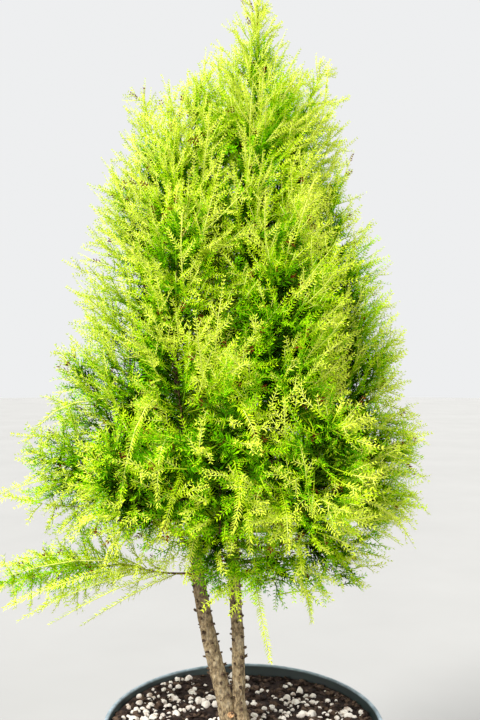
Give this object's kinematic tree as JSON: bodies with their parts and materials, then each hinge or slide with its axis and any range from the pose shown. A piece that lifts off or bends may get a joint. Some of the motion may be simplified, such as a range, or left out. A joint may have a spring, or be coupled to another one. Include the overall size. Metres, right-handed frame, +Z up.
{
  "type": "potted dwarf cypress shrub",
  "caption": "Potted dwarf cypress with two bare stems and a feathery, pear-shaped crown of fine needle sprays, in a round nursery pot.",
  "frame": {"origin": "middle of the pot's flat underside", "axes": "+Z up along the pot's axis, -Y towards the side that is seen in the picture, +X to that view's right"},
  "size_m": [0.435, 0.3583, 0.972],
  "materials": {
    "pot": "satin",
    "potting_mix": "matte",
    "bark": "matte",
    "twig": "matte",
    "foliage": "matte"
  },
  "bodies": {
    "root": {"back_left_bough": "twig", "back_left_mass": "foliage", "back_middle_bough": "twig", "back_middle_mass": "foliage", "back_right_bough": "twig", "back_right_mass": "foliage", "back_upper_left_bough": "twig", "back_upper_left_mass": "foliage", "back_upper_right_bough": "twig", "back_upper_right_mass": "foliage", "front_left_bough": "twig", "front_left_mass": "foliage", "front_middle_bough": "twig", "front_middle_mass": "foliage", "front_right_bough": "twig", "front_right_mass": "foliage", "front_skirt_bough": "twig", "front_skirt_mass": "foliage", "front_upper_left_bough": "twig", "front_upper_left_mass": "foliage", "front_upper_right_bough": "twig", "front_upper_right_mass": "foliage", "leader_mass": "foliage", "left_leader_mass": "foliage", "left_middle_bough": "twig", "left_middle_mass": "foliage", "left_shoulder_bough": "twig", "left_shoulder_mass": "foliage", "left_side_bough": "twig", "left_side_mass": "foliage", "left_skirt_bough": "twig", "left_skirt_mass": "foliage", "left_stem": "bark", "left_upper_side_bough": "twig", "left_upper_side_mass": "foliage", "low_left_spray_bough": "twig", "low_left_spray_mass": "foliage", "middle_skirt_bough": "twig", "middle_skirt_mass": "foliage", "pot": "pot", "potting_mix": "potting_mix", "right_middle_bough": "twig", "right_middle_mass": "foliage", "right_shoulder_bough": "twig", "right_shoulder_mass": "foliage", "right_side_bough": "twig", "right_side_mass": "foliage", "right_skirt_bough": "twig", "right_skirt_mass": "foliage", "right_stem": "bark", "right_upper_side_bough": "twig", "right_upper_side_mass": "foliage", "upper_back_bough": "twig", "upper_back_mass": "foliage", "upper_left_bough": "twig", "upper_left_mass": "foliage", "upper_right_bough": "twig", "upper_right_mass": "foliage"}
  },
  "joints": []
}
